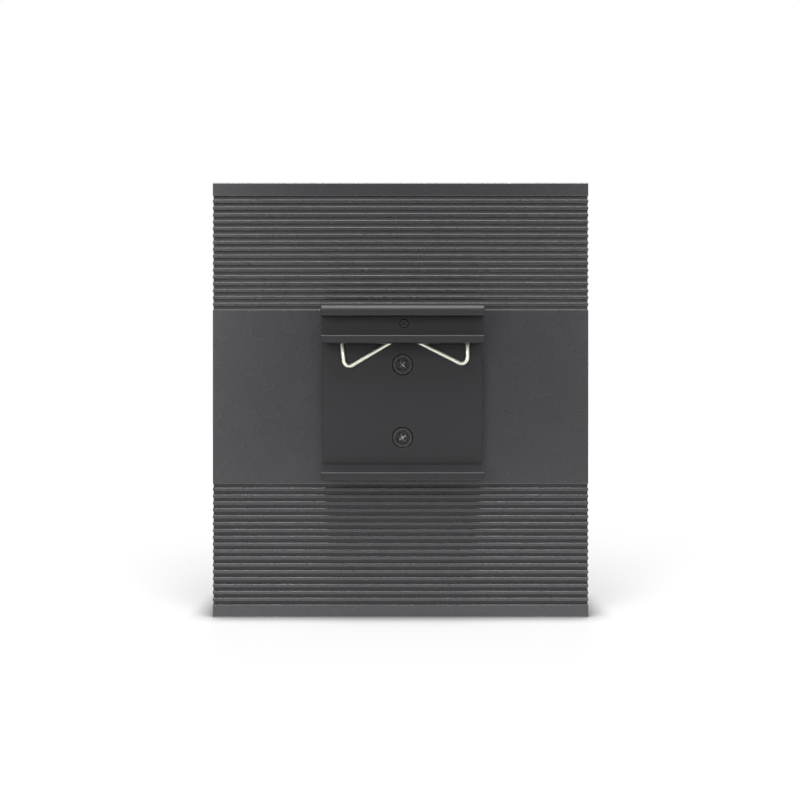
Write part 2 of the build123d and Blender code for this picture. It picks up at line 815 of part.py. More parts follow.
with BuildPart() as terminal_cages:
    clamp_width = wire_entry_width - 2 * clamp_play
    clamp_height = wire_entry_height - 2 * clamp_play
    with BuildSketch(cross_plane(plug_front_y - clamp_sink)):
        with Locations((0, terminal_z - wire_entry_drop)):
            with GridLocations(pole_pitch, pole_pitch, pole_count, 1):
                Rectangle(clamp_width, clamp_height)
                Rectangle(
                    clamp_width - 2 * clamp_wall,
                    clamp_height - 2 * clamp_wall,
                    mode=Mode.SUBTRACT,
                )
    extrude(amount=clamp_length)
finish(terminal_cages, "terminal_cages")

with BuildPart() as terminal_screws:
    with BuildSketch(cross_plane(plug_front_y - terminal_screw_sink)):
        with Locations((0, terminal_z + driver_hole_rise)):
            with GridLocations(pole_pitch, pole_pitch, pole_count, 1):
                Circle(terminal_screw_head_radius)
    extrude(amount=driver_hole_depth - terminal_screw_sink)
    with BuildSketch(cross_plane(plug_front_y - terminal_screw_sink)):
        with Locations((0, terminal_z + driver_hole_rise)):
            with GridLocations(pole_pitch, pole_pitch, pole_count, 1):
                Rectangle(2 * terminal_screw_head_radius, terminal_slot_width)
    extrude(amount=terminal_slot_depth, mode=Mode.SUBTRACT)
finish(terminal_screws, "terminal_screws")

# Ground screw with its toothed washer, and the press nut behind the panel
ground_plane = Plane(origin=(ground_x, front_y, terminal_z), x_dir=(-1, 0, 0), z_dir=(0, 1, 0))
with BuildPart() as ground_washer:
    with BuildSketch(ground_plane):
        Circle(ground_washer_radius)
        Circle(ground_screw_radius + 2 * screw_clearance, mode=Mode.SUBTRACT)
        with PolarLocations(ground_washer_radius, ground_washer_teeth):
            Rectangle(2 * ground_tooth_depth, ground_tooth_width, mode=Mode.SUBTRACT)
    extrude(amount=ground_washer_thickness)
finish(ground_washer, "ground_washer")

with BuildPart() as ground_screw:
    with Locations(ground_plane.offset(ground_washer_thickness)):
        add(
            pan_screw(
                ground_screw_radius, ground_head_radius, ground_head_height, ground_screw_length
            )
        )
finish(ground_screw, "ground_screw")

with BuildPart() as ground_nut:
    with BuildSketch(cross_plane(panel_y)):
        with Locations((ground_x, terminal_z)):
            Circle(ground_nut_radius)
            Circle(ground_screw_radius + screw_clearance, mode=Mode.SUBTRACT)
    extrude(amount=ground_nut_height)
finish(ground_nut, "ground_nut")

# Switch chip on the rear of the board, and the pad between it and the housing's land
with BuildPart() as switch_chip:
    with BuildSketch(cross_plane(board_rear_y)) as chip_profile:
        with Locations((0, clip_screw_middle_z)):
            Rectangle(chip_width, chip_width)
        chamfer(chip_profile.vertices().sort_by(Axis.X)[0], length=chip_corner_chamfer)
    extrude(amount=chip_height)
finish(switch_chip, "switch_chip")

with BuildPart() as thermal_pad:
    with BuildSketch(cross_plane(board_rear_y - chip_height)):
        with Locations((0, clip_screw_middle_z)):
            Rectangle(pad_width, pad_width)
    extrude(amount=pad_thickness)
finish(thermal_pad, "thermal_pad")

# Parts on the rear of the board
with BuildPart() as clock_crystal:
    with BuildSketch(cross_plane(board_rear_y)):
        with Locations((crystal_x, clip_screw_middle_z)):
            Rectangle(crystal_width, crystal_length)
    extrude(amount=crystal_height)
finish(clock_crystal, "clock_crystal")

with BuildPart() as flash_chip:
    with BuildSketch(cross_plane(board_rear_y)):
        with Locations((flash_x, flash_z)):
            Rectangle(flash_width, flash_length)
    extrude(amount=flash_height)
finish(flash_chip, "flash_chip")

# Parts on the front of the board
with BuildPart() as line_transformers:
    with BuildSketch(cross_plane(board_front_y + transformer_height)):
        with Locations((0, jack_middle_z)):
            with GridLocations(transformer_spacing_x, transformer_spacing_z, 2, 2):
                Rectangle(transformer_width, transformer_length)
    extrude(amount=transformer_height)
    chamfer(line_transformers.edges().group_by(Axis.Y)[-1], length=transformer_chamfer)
finish(line_transformers, "line_transformers")

with BuildPart() as power_inductor:
    with BuildSketch(cross_plane(board_front_y + inductor_height)):
        with Locations((inductor_x, power_row_z)):
            RectangleRounded(inductor_width, inductor_width, inductor_edge_radius)
    extrude(amount=inductor_height)
finish(power_inductor, "power_inductor")

with BuildPart() as input_capacitors:
    with BuildSketch(cross_plane(board_front_y + capacitor_base_height)):
        with Locations((capacitor_x, power_row_z)):
            with GridLocations(capacitor_spacing, capacitor_spacing, 2, 1):
                Rectangle(capacitor_base_width, capacitor_base_width)
    extrude(amount=capacitor_base_height)
    with BuildSketch(cross_plane(board_front_y + capacitor_height)):
        with Locations((capacitor_x, power_row_z)):
            with GridLocations(capacitor_spacing, capacitor_spacing, 2, 1):
                Circle(capacitor_radius)
    extrude(amount=capacitor_height - capacitor_base_height)
finish(input_capacitors, "input_capacitors")

with BuildPart() as converter_chip:
    with BuildSketch(cross_plane(board_front_y + converter_height)):
        with Locations((converter_x, power_row_z)):
            Rectangle(converter_width, converter_length)
    extrude(amount=converter_height)
finish(converter_chip, "converter_chip")

with BuildPart() as input_fuse:
    with BuildSketch(cross_plane(board_front_y + fuse_height)):
        with Locations((fuse_x, terminal_z)):
            Rectangle(fuse_length, fuse_width)
    extrude(amount=fuse_height)
finish(input_fuse, "input_fuse")
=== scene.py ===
"""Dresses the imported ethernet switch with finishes, fine pieces, a studio and a camera."""

import logging
import math
from dataclasses import dataclass, field
from enum import Enum
from typing import Any

import bmesh
import bpy
from bpy.types import Material, Node, NodeTree, Object
from bpy.types import NodeSocket as Socket
from mathutils import Matrix, Vector


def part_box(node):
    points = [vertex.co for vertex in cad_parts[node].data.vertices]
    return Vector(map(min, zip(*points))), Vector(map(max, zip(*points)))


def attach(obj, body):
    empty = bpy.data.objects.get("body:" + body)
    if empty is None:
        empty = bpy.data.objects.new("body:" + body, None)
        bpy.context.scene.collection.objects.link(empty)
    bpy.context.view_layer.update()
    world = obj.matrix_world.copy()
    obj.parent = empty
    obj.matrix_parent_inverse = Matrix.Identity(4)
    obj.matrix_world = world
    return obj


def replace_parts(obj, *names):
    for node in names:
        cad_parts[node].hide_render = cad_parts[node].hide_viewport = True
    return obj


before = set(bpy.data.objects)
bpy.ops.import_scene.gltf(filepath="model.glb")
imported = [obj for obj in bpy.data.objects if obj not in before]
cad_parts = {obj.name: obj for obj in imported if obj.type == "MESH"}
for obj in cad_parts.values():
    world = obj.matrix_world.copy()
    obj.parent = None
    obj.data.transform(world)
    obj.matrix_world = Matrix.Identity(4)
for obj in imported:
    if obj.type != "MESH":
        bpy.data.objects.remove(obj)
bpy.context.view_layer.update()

Colour = tuple[float, float, float]
Sockets = bpy.types.bpy_prop_collection
LOG = logging.getLogger("ethernet_switch")
MM = 0.001
QUARTER_TURN = math.radians(90.0)
WHITE = (1.0, 1.0, 1.0, 1.0)
BLACK = (0.0, 0.0, 0.0, 1.0)
BODY = "root"


class Axis(Enum):
    """A direction that drawn, brushed or extruded marks run along."""

    X = (1.0, 0.0, 0.0)
    Y = (0.0, 1.0, 0.0)
    Z = (0.0, 0.0, 1.0)


class NodeSheet:
    """Builds the nodes of one material or one shader node group."""

    def __init__(self, tree: NodeTree) -> None:
        """Starts on a tree, which it empties."""
        self.tree = tree
        self.tree.nodes.clear()

    def add(
        self, kind: str, inputs: dict[str | int, Any] | None = None, **settings: Any
    ) -> Node:
        """Adds a node, sets its properties, and fills or links its inputs.

        Args:
            kind: The node's type name.
            inputs: Input name or number to a plain value or an output socket.
            **settings: Properties of the node.

        Returns:
            The new node.
        """
        node = self.tree.nodes.new(kind)
        for name, value in settings.items():
            setattr(node, name, value)
        for key, value in (inputs or {}).items():
            if isinstance(value, Socket):
                self.tree.links.new(value, node.inputs[key])
            else:
                node.inputs[key].default_value = value
        return node

    def math(self, operation: str, first: Any, second: Any = 0.0) -> Socket:
        """Returns what a math node makes of two values or sockets."""
        return self.add("ShaderNodeMath", {0: first, 1: second}, operation=operation).outputs[0]

    def times(self, first: Any, second: Any) -> Socket:
        """Returns the product of two values or sockets."""
        return self.math("MULTIPLY", first, second)

    def scaled(self, value: Any, factor: float, offset: float) -> Socket:
        """Returns a socket's value times a factor, plus an offset."""
        inputs = {0: value, 1: factor, 2: offset}
        return self.add("ShaderNodeMath", inputs, operation="MULTIPLY_ADD").outputs[0]

    def ramp(self, factor: Any, low: Any, high: Any) -> Socket:
        """Returns the stretch of a value from low to high, spread over 0 to 1."""
        inputs = {"Value": factor, "From Min": low, "From Max": high}
        return self.add("ShaderNodeMapRange", inputs, clamp=True).outputs["Result"]

    def noise(self, vector: Any, scale: Any, detail: float, **more: float) -> Socket:
        """Returns a noise texture's value; more are its other inputs."""
        inputs = {"Vector": vector, "Scale": scale, "Detail": detail, **more}
        return self.add("ShaderNodeTexNoise", inputs).outputs[0]

    def part(self, vector: Any, axis: Axis) -> Socket:
        """Returns one part of a vector socket."""
        return self.add("ShaderNodeSeparateXYZ", {0: vector}).outputs[axis.name]

    def length(self, vector: Any) -> Socket:
        """Returns the length of a vector socket."""
        return self.add("ShaderNodeVectorMath", {0: vector}, operation="LENGTH").outputs["Value"]

    def blend(self, factor: Any, first: Any, second: Any) -> Socket:
        """Returns two colours mixed by the second one's share.

        Inputs 6 and 7 and output 2 are the mix node's colours.
        """
        inputs = {0: factor, 6: first, 7: second}
        return self.add("ShaderNodeMix", inputs, data_type="RGBA").outputs[2]


def rgba(colour: Colour) -> tuple[float, float, float, float]:
    """Returns a colour with a full alpha."""
    return (*colour, 1.0)


def lighter(colour: Colour, factor: float) -> tuple[float, float, float, float]:
    """Returns a colour scaled by a factor, with a full alpha."""
    return rgba(tuple(min(1.0, channel * factor) for channel in colour))


@dataclass
class Effects:
    """The shader node groups that several finishes share, each built once."""

    wide_grit_scale: float = 0.37
    wide_grit_share: float = 0.6
    speck_spread: float = 0.12
    smudge_scale: float = 4.3
    smudge_range: tuple[float, float] = (0.45, 0.75)
    glint_range: tuple[float, float] = (0.5, 0.68)
    patch_scale: float = 260.0
    patch_range: tuple[float, float] = (0.35, 0.65)

    def __post_init__(self) -> None:
        """Builds the groups."""
        self.grit = self.make_grit()
        self.cloud = self.make_cloud()
        self.streak = self.make_streak()
        self.edges = self.make_edges()

    @staticmethod
    def start(name: str, **values: float) -> tuple[NodeSheet, Sockets]:
        """Starts a group with a Coordinates input and value inputs.

        Args:
            name: The group's name.
            **values: Input name to default value.

        Returns:
            The group's sheet and the sockets of its inputs.
        """
        group = bpy.data.node_groups.new(name, "ShaderNodeTree")
        sockets = group.interface
        sockets.new_socket("Coordinates", in_out="INPUT", socket_type="NodeSocketVector")
        for label, default in values.items():
            socket = sockets.new_socket(label, in_out="INPUT", socket_type="NodeSocketFloat")
            socket.default_value = default
        sheet = NodeSheet(group)
        return sheet, sheet.add("NodeGroupInput").outputs

    @staticmethod
    def end(sheet: NodeSheet, **outputs: Socket) -> NodeTree:
        """Ends a group with its value outputs.

        Args:
            sheet: The group's sheet.
            **outputs: Output name to the socket that feeds it.

        Returns:
            The group.
        """
        for label in outputs:
            sheet.tree.interface.new_socket(label, in_out="OUTPUT", socket_type="NodeSocketFloat")
        sheet.add("NodeGroupOutput", outputs)
        return sheet.tree

    def make_grit(self) -> NodeTree:
        """Makes the fine grit of a coating: small bumps of two sizes and scattered specks.

        Returns:
            A group with outputs Height and Speck.
        """
        sheet, source = self.start("fine_grit", Scale=3000.0, Specks=0.62)
        small = sheet.noise(source["Coordinates"], source["Scale"], 2.0)
        wide_scale = sheet.times(source["Scale"], self.wide_grit_scale)
        wide = sheet.noise(source["Coordinates"], wide_scale, 1.0)
        height = sheet.math("ADD", small, sheet.times(wide, self.wide_grit_share))
        limit = sheet.math("ADD", source["Specks"], self.speck_spread)
        return self.end(sheet, Height=height, Speck=sheet.ramp(small, source["Specks"], limit))

    def make_cloud(self) -> NodeTree:
        """Makes the slow unevenness of a handled surface, for colour and roughness.

        Returns:
            A group with outputs Cloud and Smudge.
        """
        sheet, source = self.start("handled_unevenness", Scale=40.0)
        cloud = sheet.noise(source["Coordinates"], source["Scale"], 4.0, Roughness=0.55)
        fine = sheet.times(source["Scale"], self.smudge_scale)
        smudge = sheet.noise(source["Coordinates"], fine, 3.0, Distortion=0.8)
        return self.end(sheet, Cloud=cloud, Smudge=sheet.ramp(smudge, *self.smudge_range))

    def make_edges(self) -> NodeTree:
        """Makes painted highlights and wear on square-cut edges: a mask where they turn, and its
        specks.

        Returns:
            A group with outputs Edge and Glint.
        """
        sheet, source = self.start("painted_edge_highlights_and_wear", Scale=2600.0, Start=0.03, Full=0.07)
        normal = sheet.add("ShaderNodeNewGeometry").outputs["Normal"]
        size = sheet.add("ShaderNodeVectorMath", {0: normal}, operation="ABSOLUTE").outputs[0]
        parts = sheet.add("ShaderNodeSeparateXYZ", {0: size}).outputs
        most = sheet.math("MAXIMUM", parts[0], sheet.math("MAXIMUM", parts[1], parts[2]))
        turned = sheet.math("SUBTRACT", 1.0, most)
        edge = sheet.ramp(turned, source["Start"], source["Full"])
        specks = sheet.noise(source["Coordinates"], source["Scale"], 1.0)
        patches = sheet.noise(source["Coordinates"], self.patch_scale, 2.0)
        specks = sheet.ramp(specks, *self.glint_range)
        # speckled patches of painted highlight along the turned edges
        rubbed = sheet.times(specks, sheet.ramp(patches, *self.patch_range))
        return self.end(sheet, Edge=edge, Glint=sheet.times(edge, rubbed))

    def make_streak(self) -> NodeTree:
        """Makes long marks, on coordinates that are squeezed along them; its output is Streak."""
        sheet, source = self.start("long_streaks", Scale=900.0)
        return self.end(sheet, Streak=sheet.noise(source["Coordinates"], source["Scale"], 3.0))


class MaterialSheet(NodeSheet):
    """The nodes of one material, with its Object coordinates and the shared effects at hand."""

    def __init__(self, material: Material, effects: Effects) -> None:
        """Starts on a material's tree.

        Args:
            material: The material.
            effects: The shared groups.
        """
        super().__init__(material.node_tree)
        self.effects = effects
        self.place = self.add("ShaderNodeTexCoord").outputs["Object"]

    def effect(self, group: NodeTree, vector: Any = None, **values: float) -> Sockets:
        """Puts a shared group into the material and returns its outputs.

        Args:
            group: The group.
            vector: Its coordinates, the material's own where None.
            **values: Input name to value.
        """
        inputs = {"Coordinates": self.place if vector is None else vector, **values}
        return self.add("ShaderNodeGroup", inputs, node_tree=group).outputs

    def cloud(self, scale: float) -> Sockets:
        """Returns the outputs of the slow unevenness."""
        return self.effect(self.effects.cloud, Scale=scale)

    def streak(self, axis: Axis, squeeze: float, scale: float) -> Socket:
        """Makes long marks.

        Args:
            axis: The direction of the marks.
            squeeze: What the coordinates keep along that axis.
            scale: The marks' scale across it.

        Returns:
            The marks' socket.
        """
        kept = tuple(squeeze if along else 1.0 for along in axis.value)
        lines = self.add("ShaderNodeMapping", {"Vector": self.place, "Scale": kept}).outputs[0]
        return self.effect(self.effects.streak, lines, Scale=scale)["Streak"]

    def bump(self, height: Any, depth: float, strength: float = 1.0) -> Socket:
        """Returns the normal of a surface raised by a height of a depth in metres."""
        inputs = {"Height": height, "Distance": depth, "Strength": strength}
        return self.add("ShaderNodeBump", inputs).outputs[0]


@dataclass(frozen=True)
class Finish:
    """What every finish has: a name, a colour and a sheen."""

    name: str
    colour: Colour
    roughness: float = 0.5

    def build(self, effects: Effects) -> Material:
        """Builds the finish's material.

        Args:
            effects: The shared groups.

        Returns:
            The material.
        """
        material = bpy.data.materials.new(self.name)
        material.use_nodes = True
        material.diffuse_color = rgba(self.colour)
        sheet = MaterialSheet(material, effects)
        shader = sheet.add("ShaderNodeBsdfPrincipled", self.shade(sheet))
        sheet.add("ShaderNodeOutputMaterial", {"Surface": shader.outputs[0]})
        return material

    def shade(self, sheet: MaterialSheet) -> dict[str, Any]:
        """Adds a finish's own nodes and returns the shader's inputs by name."""
        raise NotImplementedError

    def clouded(self, sheet: NodeSheet, cloud: Any, low: float, high: float) -> Socket:
        """Returns the colour, blended by a cloud between two factors of it."""
        return sheet.blend(cloud, lighter(self.colour, low), lighter(self.colour, high))


@dataclass(frozen=True)
class CoatedMetal(Finish):
    """Anodised or powder-coated metal: fine grit, faint extrusion marks, painted edge highlights
    and wear.

    Where groove_face is set, the grooves' floors in that face are rougher, darker with painted
    shade and lighter higher up with painted light.
    """

    metallic: float = 0.2
    specular: float = 0.5
    grit_scale: float = 5200.0
    grit_depth: float = 0.006 * MM
    grit_gain: float = 1.1
    streak_gain: float = 1.06
    streak_scale: float = 2200.0
    streak_squeeze: float = 0.03
    edge_start: float = 0.03
    edge_full: float = 0.07
    edge_gain: float = 4.0
    glint_gain: float = 9.0
    edge_polish: float = 0.12
    cloud_scale: float = 35.0
    cloud_spread: float = 0.03
    haze_spread: float = 0.02
    groove_face: float | None = None
    groove_depth: float = 0.9 * MM
    groove_tone: float = 0.6
    groove_haze: float = 0.4
    flank_haze: float = 0.3
    dust: Colour = (0.055, 0.054, 0.053)
    dust_share: float = 0.65
    dust_patches: float = 0.3
    dust_heights: tuple[float, float] = (45.0 * MM, 75.0 * MM)

    def shade(self, sheet: MaterialSheet) -> dict[str, Any]:
        """Adds the coated metal's nodes.

        Args:
            sheet: The material's sheet.

        Returns:
            The shader's inputs.
        """
        grit = sheet.effect(sheet.effects.grit, Scale=self.grit_scale)
        cloud = sheet.cloud(self.cloud_scale)
        edges = sheet.effect(sheet.effects.edges, Start=self.edge_start, Full=self.edge_full)
        streak = sheet.streak(Axis.X, self.streak_squeeze, self.streak_scale)
        low, high = 1.0 - self.cloud_spread, 1.0 + self.cloud_spread
        tone = self.clouded(sheet, cloud["Cloud"], low, high)
        # the edge mask and its glints lighten the tone as painted highlights, with some wear,
        # where small edge rounds catch the light
        for mask, gain in (
            (streak, self.streak_gain), (grit["Speck"], self.grit_gain),
            (edges["Edge"], self.edge_gain), (edges["Glint"], self.glint_gain),
        ):
            tone = sheet.blend(mask, tone, lighter(self.colour, gain))
        haze = self.roughness - self.haze_spread / 2
        haze = sheet.scaled(cloud["Smudge"], self.haze_spread, haze)
        polish = sheet.times(edges["Edge"], self.edge_polish)
        sheen = sheet.math("SUBTRACT", haze, polish)
        if self.groove_face is not None:
            floor, lit_groove_floor, flank = self.groove_masks(sheet, cloud["Smudge"])
            # painted shade darkens the groove floors, then painted light lightens them higher up
            tone = sheet.blend(floor, tone, lighter(self.colour, self.groove_tone))
            tone = sheet.blend(lit_groove_floor, tone, rgba(self.dust))
            for mask, dullness in ((floor, self.groove_haze), (flank, self.flank_haze)):
                sheen = sheet.math("ADD", sheen, sheet.times(mask, dullness))
        return {
            "Base Color": tone, "Roughness": sheen, "Metallic": self.metallic,
            "Specular IOR Level": self.specular,
            "Normal": sheet.bump(grit["Height"], self.grit_depth),
        }

    def groove_masks(self, sheet: MaterialSheet, smudge: Socket) -> tuple[Socket, ...]:
        """Masks the grooves cut into a face that looks along -Y, and what lies behind them.

        Args:
            sheet: The material's sheet.
            smudge: The unevenness that makes the painted light patchy.

        Returns:
            Masks of the grooves' floors, of the painted light on them, which is more higher up,
            and of the duller top and bottom behind them.
        """
        inward = sheet.part(sheet.place, Axis.Y)
        below, above, behind = (
            sheet.ramp(inward, *(self.groove_face + self.groove_depth * share for share in shares))
            for shares in ((0.25, 0.75), (1.3, 1.1), (1.3, 3.0))
        )
        normal = sheet.add("ShaderNodeNewGeometry").outputs["Normal"]
        facing = sheet.math("ABSOLUTE", sheet.part(normal, Axis.Y))
        floor = sheet.times(sheet.times(below, above), facing)
        # painted light on the groove floors grows higher up and is patchy
        higher = sheet.ramp(sheet.part(sheet.place, Axis.Z), *self.dust_heights)
        patchy = sheet.scaled(smudge, self.dust_patches, self.dust_share)
        lit_groove_floor = sheet.times(floor, sheet.times(higher, patchy))
        return floor, lit_groove_floor, behind


@dataclass(frozen=True)
class BareMetal(Finish):
    """Plated, drawn or brushed metal with marks along one direction."""

    streak_axis: Axis = Axis.Z
    streak_scale: float = 5000.0
    streak_squeeze: float = 0.04
    streak_depth: float = 0.004 * MM
    stain: Colour = (0.4, 0.36, 0.28)
    stain_share: float = 0.22
    metallic: float = 1.0
    cloud_scale: float = 180.0
    haze_spread: float = 0.16
    haze_drop: float = 0.06

    def shade(self, sheet: MaterialSheet) -> dict[str, Any]:
        """Adds the bare metal's nodes.

        Args:
            sheet: The material's sheet.

        Returns:
            The shader's inputs.
        """
        streak = sheet.streak(self.streak_axis, self.streak_squeeze, self.streak_scale)
        smudge = sheet.cloud(self.cloud_scale)["Smudge"]
        stained = sheet.times(smudge, self.stain_share)
        return {
            "Base Color": sheet.blend(stained, rgba(self.colour), rgba(self.stain)),
            "Roughness": sheet.scaled(streak, self.haze_spread, self.roughness - self.haze_drop),
            "Metallic": self.metallic,
            "Normal": sheet.bump(streak, self.streak_depth),
        }


@dataclass(frozen=True)
class RubbedHead(Finish):
    """Blackened steel head: painted highlights in its recess, painted shade on its rim in its
    seat.

    A thin ring inside the rim carries a faint painted highlight too.
    """

    axis_x: float = 0.0
    axis_z: float = 0.0
    face_y: float = 0.0
    rim_radius: float = 2.72 * MM
    rim_width: float = 0.34 * MM
    recess_radius: float = 1.32 * MM
    recess_depth: float = 0.4 * MM
    # colour of the painted highlights in the recess and on the thin ring
    rubbed: Colour = (0.62, 0.61, 0.6)
    ring_share: float = 0.3
    # painted shade of the gap round the rim
    seat_tone: Colour = (0.002, 0.002, 0.002)
    seat_haze: float = 0.9
    cloud_scale: float = 900.0
    cloud_range: tuple[float, float] = (0.8, 1.3)
    metallic: float = 0.6
    specular: float = 0.4
    grit_scale: float = 2600.0
    grit_specks: float = 0.44
    grit_depth: float = 0.02 * MM

    def shade(self, sheet: MaterialSheet) -> dict[str, Any]:
        """Adds the head's nodes.

        Args:
            sheet: The material's sheet.

        Returns:
            The shader's inputs.
        """
        away = sheet.length(sheet.add("ShaderNodeMapping", {
            "Vector": sheet.place, "Location": (-self.axis_x, 0.0, -self.axis_z),
            "Scale": (1.0, 0.0, 1.0),
        }).outputs[0])
        sunk = sheet.part(sheet.place, Axis.Y)
        grit = sheet.effect(sheet.effects.grit, Scale=self.grit_scale, Specks=self.grit_specks)
        cloud = sheet.cloud(self.cloud_scale)
        inside = sheet.ramp(away, self.recess_radius, self.recess_radius * 0.75)
        deep = sheet.ramp(
            sunk, self.face_y + self.recess_depth * 0.3, self.face_y + self.recess_depth
        )
        # painted highlights at the bottom of the recess
        recess_highlight = sheet.times(sheet.times(inside, deep), grit["Speck"])
        rim_start = self.rim_radius - self.rim_width
        ring_start = self.rim_radius - self.rim_width * 2.6
        inner = sheet.ramp(away, ring_start, ring_start + self.rim_width * 0.6)
        outer = sheet.ramp(away, rim_start, ring_start + self.rim_width)
        ring = sheet.times(sheet.times(inner, outer), cloud["Smudge"])
        ring = sheet.times(ring, self.ring_share)
        # painted shade on the rim, where it sits in its seat
        rim = sheet.ramp(away, rim_start, rim_start + self.rim_width * 0.3)
        tone = self.clouded(sheet, cloud["Cloud"], *self.cloud_range)
        for mask, colour in ((ring, self.rubbed), (recess_highlight, self.rubbed), (rim, self.seat_tone)):
            tone = sheet.blend(mask, tone, rgba(colour))
        return {
            "Base Color": tone,
            "Roughness": sheet.scaled(rim, self.seat_haze - self.roughness, self.roughness),
            "Metallic": self.metallic, "Specular IOR Level": self.specular,
            "Normal": sheet.bump(grit["Height"], self.grit_depth),
        }


@dataclass(frozen=True)
class MouldedPlastic(Finish):
    """Moulded plastic or resin with a faint spark-eroded grain."""

    grain_scale: float = 2600.0
    grain_depth: float = 0.012 * MM
    cloud_scale: float = 90.0
    cloud_range: tuple[float, float] = (0.9, 1.1)
    haze_spread: float = 0.08
    haze_drop: float = 0.03

    def shade(self, sheet: MaterialSheet) -> dict[str, Any]:
        """Adds the plastic's nodes.

        Args:
            sheet: The material's sheet.

        Returns:
            The shader's inputs.
        """
        grain = sheet.effect(sheet.effects.grit, Scale=self.grain_scale)
        cloud = sheet.cloud(self.cloud_scale)
        haze = self.roughness - self.haze_drop
        return {
            "Base Color": self.clouded(sheet, cloud["Cloud"], *self.cloud_range),
            "Roughness": sheet.scaled(cloud["Smudge"], self.haze_spread, haze),
            "Normal": sheet.bump(grain["Height"], self.grain_depth),
        }


@dataclass(frozen=True)
class ClearMoulding(Finish):
    """Clear acrylic of the light guides, faintly clouded."""

    cloud_scale: float = 300.0
    cloud_range: tuple[float, float] = (0.88, 1.0)
    haze_spread: float = 0.1
    transmission: float = 0.55
    refraction: float = 1.49

    def shade(self, sheet: MaterialSheet) -> dict[str, Any]:
        """Adds the clear moulding's nodes.

        Args:
            sheet: The material's sheet.

        Returns:
            The shader's inputs.
        """
        cloud = sheet.cloud(self.cloud_scale)
        return {
            "Base Color": self.clouded(sheet, cloud["Cloud"], *self.cloud_range),
            "Roughness": sheet.scaled(cloud["Smudge"], self.haze_spread, self.roughness),
            "Transmission Weight": self.transmission, "IOR": self.refraction,
        }


@dataclass(frozen=True)
class PrintedBoard(Finish):
    """Green laminate with copper tracks under its mask."""

    pad_gain: float = 1.15
    track_gain: float = 1.9
    track_scale: float = 420.0
    track_width: float = 0.04
    track_depth: float = 0.03 * MM
    track_strength: float = 0.6
    cloud_scale: float = 60.0
    cloud_share: float = 0.3

    def shade(self, sheet: MaterialSheet) -> dict[str, Any]:
        """Adds the board's nodes.

        Args:
            sheet: The material's sheet.

        Returns:
            The shader's inputs.
        """
        turned = sheet.add("ShaderNodeMapping", {
            "Vector": sheet.place, "Rotation": (QUARTER_TURN, 0.0, 0.0),
        }).outputs[0]
        cells = sheet.add("ShaderNodeTexBrick", {
            "Vector": turned, "Color1": rgba(self.colour),
            "Color2": lighter(self.colour, self.pad_gain),
            "Mortar": lighter(self.colour, self.track_gain),
            "Scale": self.track_scale, "Mortar Size": self.track_width,
        }).outputs
        smudge = sheet.cloud(self.cloud_scale)["Smudge"]
        covered = sheet.times(smudge, self.cloud_share)
        return {
            "Base Color": sheet.blend(covered, cells["Color"], rgba(self.colour)),
            "Roughness": self.roughness,
            "Normal": sheet.bump(cells["Fac"], self.track_depth, self.track_strength),
        }


